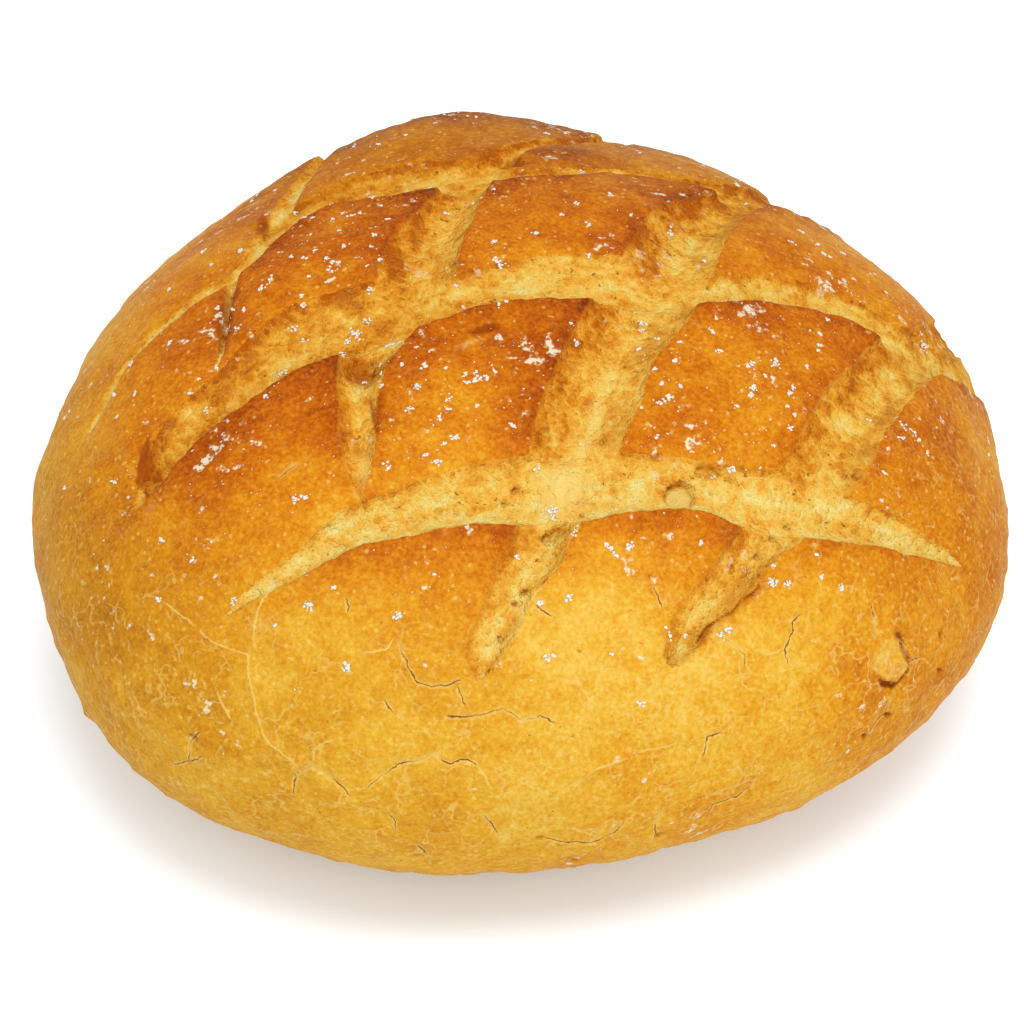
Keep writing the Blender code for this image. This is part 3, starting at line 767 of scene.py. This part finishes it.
crustColours = {
    "brightness": 0.60,         # the lights are stronger than white by this much
    "ramp": ((0.0, (252, 208, 92)), (0.2, (247, 184, 50)), (0.4, (236, 150, 24)),
             (0.6, (214, 114, 10)), (0.8, (180, 80, 6)), (1.0, (124, 48, 6))),
    # duller crust for the flanks and the back, partly painted shade
    "dullAndShadedRamp": ((0.0, (250, 210, 92)), (0.2, (241, 182, 52)), (0.4, (226, 156, 32)),
                   (0.6, (202, 129, 22)), (0.8, (170, 102, 22)), (1.0, (124, 64, 12))),
    "crumbRamp": ((0.0, (255, 234, 146)), (0.22, (255, 216, 106)), (0.45, (254, 190, 70)),
                  (0.7, (236, 152, 36)), (1.0, (196, 100, 12))),
    "olive": (214, 168, 72),
    "membrane": (255, 226, 132),
    # painted shade for hollows, pits, pockets and torn steps
    "paintedShade": (176, 82, 6),
    "pore": (150, 90, 26),
    "crack": (146, 76, 14),
    "paleFleck": (255, 222, 126),
    "darkFleck": (168, 78, 8),
    "flour": (255, 248, 216),
}


def paint(colour):
    # a screen colour, 0 to 255, under these lights
    linear = ((c / 255 / 12.92) if c / 255 <= 0.04045 else ((c / 255 + 0.055) / 1.055) ** 2.4 for c in colour)
    return tuple(crustColours["brightness"] * c for c in linear) + (1.0,)


def breadLook():
    look = Look("bakedCrust")
    colours = crustColours
    where = look.node("ShaderNodeTexCoord", output=3)
    names = ("opening", "sharp", "toast", "olive", "baked", "paleAndShade", "crackSide", "crackNear", "seamSide",
             "seamNear", "dusted", "dullAndShaded", "fibre")
    (opening, sharp, toast, olive, baked, paleAndShade, crackSide, crackNear, seamSide, seamNear, dusted, dullAndShaded,
     fibre) = (look.attribute(n) for n in names)
    fine = look.speckle(where, 0.0010, 1.0, 0.6) - 0.5
    small = look.speckle(where, 0.0024, 2.0, 0.55, 0.31) - 0.5
    patch = look.speckle(where, 0.0070, 1.0, 0.55, 0.44) - 0.5
    broad = look.speckle(where, 0.022, 1.0, 0.5, 0.57) - 0.5
    torn = look.speckle(where, 0.0021, 2.0, 0.70, 0.83) - 0.5
    chaff = look.speckle(where, 0.0018, 2.0, 0.6, 11.3) - 0.5
    sway = look.node("ShaderNodeTexNoise", None, {"Vector": where, "Scale": 240.0, "Detail": 1.0},
                     output=1)

    # crust, flaky on the flanks
    scaly = 1 - dusted * 0.8
    # the tint darkens the crust as painted shade where negative and pales it where positive
    tone = baked + fine * 0.50 + small * 0.32 + patch * 0.32 + broad * 0.42 - paleAndShade * 0.25
    # the duller ramp on the left flank and at the back is partly painted shade
    crust = look.mix(dullAndShaded, look.ramp(tone, colours["ramp"]), look.ramp(tone, colours["dullAndShadedRamp"]))
    fleck = look.dots(look.moved(where, sway, 0.0020), 0.0023, 0.28, 0.60)
    scrap = chaff.step(0.11, 0.20) * scaly
    crust = look.mix(fleck * 0.45, crust, paint(colours["paleFleck"]))
    crust = look.mix(scrap * 0.40, crust, paint(colours["paleFleck"]))
    crust = look.mix(chaff.step(-0.20, -0.26) * 0.55, crust, paint(colours["darkFleck"]))

    # torn crumb
    shade = toast + fibre * 0.22 + torn * 0.95 + fine * 0.32 + small * 0.26 + patch * 0.85 + broad * 0.35
    crumb = look.ramp(shade, colours["crumbRamp"])
    green = (olive + patch * 0.9 + torn * 0.3).step(0.40, 1.10)
    crumb = look.mix(green * 0.38, crumb, paint(colours["olive"]))
    pore = chaff.step(-0.14, -0.21) * patch.step(-0.05, 0.06)
    crumb = look.mix(pore * 0.8, crumb, paint(colours["pore"]))

    inside = ((opening + torn * 1.6) * sharp).step(-0.3, 0.7)
    colour = look.mix(inside, crust, crumb)
    pale = (paleAndShade + torn * 0.7 + patch * 0.9).step(0.15, 1.0)
    paleShare = pale * (0.70 + torn * 1.2 + small * 0.8)
    colour = look.mix(paleShare, colour, paint(colours["membrane"]))
    # painted shade where the tint is negative: hollows, pits, pockets and the low side of torn steps
    paintedShade = (0 - paleAndShade + torn * 0.3).step(0.1, 1.1)
    paintedShadeShare = paintedShade * (0.74 + torn * 0.9 + small * 0.8)
    colour = look.mix(paintedShadeShare, colour, paint(colours["paintedShade"]))

    # cracks and seams
    wander = torn * 1.5
    wear = patch.step(-0.20, 0.02)
    crackLine = (crackSide + wander).size()
    crack = crackLine.step(0.24, 0.09) * crackNear * wear
    crackEdge = crackLine.step(0.9, 0.3) * crackNear
    seam = (seamSide + wander).size().step(0.40, 0.10) * seamNear * wear
    net = look.node("ShaderNodeTexVoronoi", {"feature": "DISTANCE_TO_EDGE"},
                    {"Vector": look.moved(where, sway, 0.0065), "Scale": 1 / 0.0085})
    craze = net.step(0.042, 0.010) * patch.step(-0.04, 0.10) * (1 - dusted) * (1 - inside)
    line = look.math("MAXIMUM", seam, craze * 0.6)
    colour = look.mix(crackEdge * 0.4, colour, paint(colours["paleFleck"]))
    colour = look.mix(line * 0.65, colour, paint(colours["paleFleck"]))
    colour = look.mix(crack * 0.9, colour, paint(colours["crack"]))

    # flour
    blot = (look.speckle(where, 0.0036, 2.0, 0.55, 6.4) + broad * 0.55 + dusted * 0.05).step(0.73, 0.81)
    dust = (fine + broad * 0.25).step(0.24, 0.30) * dusted
    flour = look.math("MAXIMUM", blot * fine.step(-0.12, 0.02), dust) * (1 - inside * 0.5)
    colour = look.mix(flour * 0.85, colour, paint(colours["flour"]))
    look.feed(look.shader.inputs["Base Color"], colour)

    look.feed(look.shader.inputs["Roughness"], look.blend(inside, 0.56 + small * 0.4, 0.80))

    crustRise = small * 0.50 + patch * scaly * 0.7
    crumbRise = torn * 1.5 + small * 1.1
    rise = look.blend(inside, crustRise, crumbRise * (1 - pale * 0.35))
    bump = look.node("ShaderNodeBump", None, {"Strength": 1.0, "Distance": 0.001, "Height": rise})
    look.feed(look.shader.inputs["Normal"], bump)
    look.shader.inputs["Specular IOR Level"].default_value = 0.04
    return look.material


loaf.data.materials.clear()
loaf.data.materials.append(breadLook())
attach(loaf, "root")
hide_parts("loaf")
print("finished the crust")


# Flour clumps: tilt right, tilt back and size in millimetres, then loose grains
flourForm = {
    "clumps": (
        (-22, -62, 2.6), (7, -43, 2.8), (14, -48, 2.2), (37, -48, 2.0), (39, -48, 1.4), (59, 5, 3.0),
        (-16, -13, 2.6), (-12, -14, 2.6), (-14, -11, 1.8), (-23, -37, 1.6), (-24, -37, 1.4),
        (-25, -52, 1.8), (-35, -49, 1.6), (-14, -56, 1.6), (5, -56, 1.4), (9, -55, 1.4), (6, -64, 1.8),
        (31, -58, 1.4), (32, -57, 1.3), (47, -46, 1.4), (-13, -35, 1.6), (-10, -27, 1.5), (-5, -32, 1.6),
        (-2, -24, 1.8), (-1, -24, 1.4), (-9, -24, 1.4), (-8, -21, 1.2), (2, -31, 1.2), (-27, -3, 2.0),
        (-28, -4, 1.6), (-19, -3, 1.8), (-19, -2, 1.4), (-23, 0, 1.3), (-20, -1, 1.3), (-22, -8, 1.2),
        (-14, -7, 1.3), (-25, -17, 2.2), (-26, -18, 1.6), (20, -25, 1.8), (21, -24, 1.3), (30, -16, 1.6),
        (33, -15, 1.8), (33, -14, 1.2), (35, -19, 1.3), (20, -22, 1.2), (22, -22, 1.2), (26, -15, 1.2),
        (25, -12, 1.2), (52, -17, 1.6), (54, -17, 1.8), (55, -18, 1.4), (52, -19, 1.2), (50, -26, 1.2),
        (42, 12, 1.6), (42, 15, 1.3), (40, 17, 1.2), (43, 12, 1.2), (11, 4, 1.2), (10, 9, 1.2),
        (8, 6, 1.2), (5, 2, 1.2), (14, 12, 1.2), (33, 31, 1.6), (1, -4, 1.8), (-9, -13, 1.3),
        (-25, 1, 1.2), (-18, 1, 1.4), (-45, 6, 1.2), (-41, 13, 1.4), (-38, 7, 1.2), (-40, -3, 1.2),
        (-44, -4, 1.2), (-33, -15, 1.3), (-35, -20, 1.2), (-43, -38, 1.4), (-39, -42, 1.2),
        (-46, -46, 1.4), (-62, -23, 1.2), (10, -46, 1.4), (15, -49, 1.2), (26, -45, 1.2), (57, -19, 1.1),
    ),
    "looseClumps": 190,
    "looseGrains": 300,
    "grainSize": (0.16, 0.46),    # in a clump, in millimetres
    "looseSize": (0.12, 0.26),
    "spread": 0.00036,          # of a clump, for each millimetre of its size
    "colour": (0.62, 0.585, 0.50, 1),
    "seed": 11,
}


def makeFlour():
    form = flourForm
    draw = np.random.default_rng(form["seed"])
    clearSelection()
    bpy.ops.mesh.primitive_ico_sphere_add(subdivisions=1, radius=1, location=(0, 0, 0))
    flour = bpy.context.object
    flour.name = flour.data.name = "flourGrains"
    grainShape = readVertices(flour.data)
    grainFaces = [tuple(p.vertices) for p in flour.data.polygons]
    skin = readVertices(loaf.data)
    tilt = np.degrees(np.arccos(np.clip(unit(skin - [0, 0, 0.045])[:, 2], -1, 1)))
    opening = np.empty(len(skin), dtype=np.float32)
    loaf.data.attributes["opening"].data.foreach_get("value", opening)
    quads = [p for p in loaf.data.polygons if len(p.vertices) < 9]
    tree = BVHTree.FromPolygons([tuple(v) for v in skin], [tuple(p.vertices) for p in quads])
    places = []

    def lay(spot, size):
        where, normal, _, _ = tree.find_nearest(Vector(spot))
        places.append((np.array(where), np.array(normal), size))

    def clump(spot, size):
        where, normal, _, _ = tree.find_nearest(Vector(spot))
        side = unit(np.cross(np.array(normal), [[0.3, 0.2, 0.9]]))[0]
        other = np.cross(np.array(normal), side)
        stretch = draw.uniform(0.5, 1.0)
        turn = draw.uniform(0, math.pi)
        a = side * math.cos(turn) + other * math.sin(turn)
        b = other * math.cos(turn) - side * math.sin(turn)
        for _ in range(int(4 + size * size * 3.2)):
            u, v = draw.normal(0, size * form["spread"], 2)
            lay(np.array(where) + a * u + b * v * stretch, draw.uniform(*form["grainSize"]) * 0.001)

    for east, north, size in form["clumps"]:
        spot = loafSurface(tilted(np.array([east]), np.array([north])))[0]
        clump(spot, size)
    dusted = 1 - smoothStep(tilt, 36, 82)
    chance = (0.04 + dusted ** 1.5) * (tilt < 100) * np.where(opening > 0, 0.45, 1.0)
    spread = np.array([noise.noise(p) for p in (skin / 0.016).tolist()])
    edges = np.array([(skin[p.vertices[0]] - skin[p.vertices[2]]) for p in quads])
    area = (edges ** 2).sum(axis=1)
    first = np.array([p.vertices[0] for p in quads])
    weight = area * chance[first] * smoothStep(spread[first], -0.15, 0.45)
    for pick in draw.choice(len(first), form["looseClumps"], p=weight / weight.sum()):
        clump(skin[first[pick]], draw.uniform(0.5, 1.5))
    for pick in draw.choice(len(first), form["looseGrains"], p=weight / weight.sum()):
        lay(skin[first[pick]] + draw.normal(0, 0.0008, 3), draw.uniform(*form["looseSize"]) * 0.001)

    points, faces = [], []
    for number, (where, normal, size) in enumerate(places):
        side = unit(np.cross(normal, [[0.3, 0.2, 0.9]]))[0]
        other = np.cross(normal, side)
        shape = grainShape * draw.uniform(0.55, 1.45, (len(grainShape), 1))
        flatness = draw.uniform(0.35, 0.65)
        points.append(where + size * (shape[:, :1] * side + shape[:, 1:2] * other
                                      + (shape[:, 2:] * flatness + 0.25) * normal))
        faces.extend(tuple(v + number * len(grainShape) for v in face) for face in grainFaces)
    mesh = bpy.data.meshes.new("flourGrains")
    mesh.from_pydata(np.concatenate(points).tolist(), [], faces)
    mesh.update()
    flour.data = mesh
    look = Look("whiteFlour")
    look.shader.inputs["Base Color"].default_value = form["colour"]
    look.shader.inputs["Roughness"].default_value = 0.9
    look.shader.inputs["Specular IOR Level"].default_value = 0.2
    mesh.materials.append(look.material)
    mesh.shade_smooth()
    return flour, len(faces)


flour, count = makeFlour()
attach(flour, "root")
print("dusted the flour:", count, "triangles")


# Floor, light and camera
studio = {
    "skyStrength": 0.95,
    "keyPower": 12,
    "frontPower": 8,
    "floorColour": (0.87, 0.93, 1.0, 1),
    "floorGlow": 0.14,          # a pale table lit a little from below
    "glowColour": (0.80, 0.93, 1.0, 1),
    "elevation": 39,            # of the camera, in degrees
    "distance": 0.9,
    "aimHeight": 0.06,
    "lens": 123.65,
    "shift": (-0.0068, -0.0433),
}

clearSelection()
bpy.ops.mesh.primitive_plane_add(size=6, location=(0, 0, -0.0002))
floor = bpy.context.object
floor.name = "paleFloor"
floorLook = Look("paleFloorPaint")
floorLook.shader.inputs["Base Color"].default_value = studio["floorColour"]
floorLook.shader.inputs["Roughness"].default_value = 0.9
floorLook.shader.inputs["Emission Color"].default_value = studio["glowColour"]
floorLook.shader.inputs["Emission Strength"].default_value = studio["floorGlow"]
floor.data.materials.append(floorLook.material)

world = bpy.data.worlds.new("studioSky")
bpy.context.scene.world = world
world.use_nodes = True
world.node_tree.nodes["Background"].inputs["Color"].default_value = (1.0, 0.99, 0.975, 1)
world.node_tree.nodes["Background"].inputs["Strength"].default_value = studio["skyStrength"]


def addSoftLight(name, place, aim, size, power):
    bpy.ops.object.light_add(type="AREA", location=place)
    lamp = bpy.context.object
    lamp.name = name
    lamp.data.shape = "DISK"
    lamp.data.size = size
    lamp.data.energy = power
    lamp.rotation_euler = (Vector(aim) - Vector(place)).to_track_quat("-Z", "Y").to_euler()
    return lamp


addSoftLight("keyLight", (0.12, -0.40, 1.55), (0, 0, 0.05), 0.8, studio["keyPower"])
addSoftLight("frontLight", (0.35, -1.45, 0.95), (0, 0, 0.05), 1.2, studio["frontPower"])

aim = Vector((-loafForm["centre"][0], -loafForm["centre"][1], studio["aimHeight"]))
rise = math.radians(studio["elevation"])
bpy.ops.object.camera_add(location=aim + studio["distance"] * Vector((0, -math.cos(rise), math.sin(rise))))
camera = bpy.context.object
camera.rotation_euler = (math.pi / 2 - rise, 0, 0)
camera.data.sensor_width = 36
camera.data.lens = studio["lens"]
camera.data.shift_x, camera.data.shift_y = studio["shift"]
camera.data.clip_start = 0.01
bpy.context.scene.camera = camera
bpy.context.scene.view_settings.view_transform = "Standard"
print("set the camera and the lights")
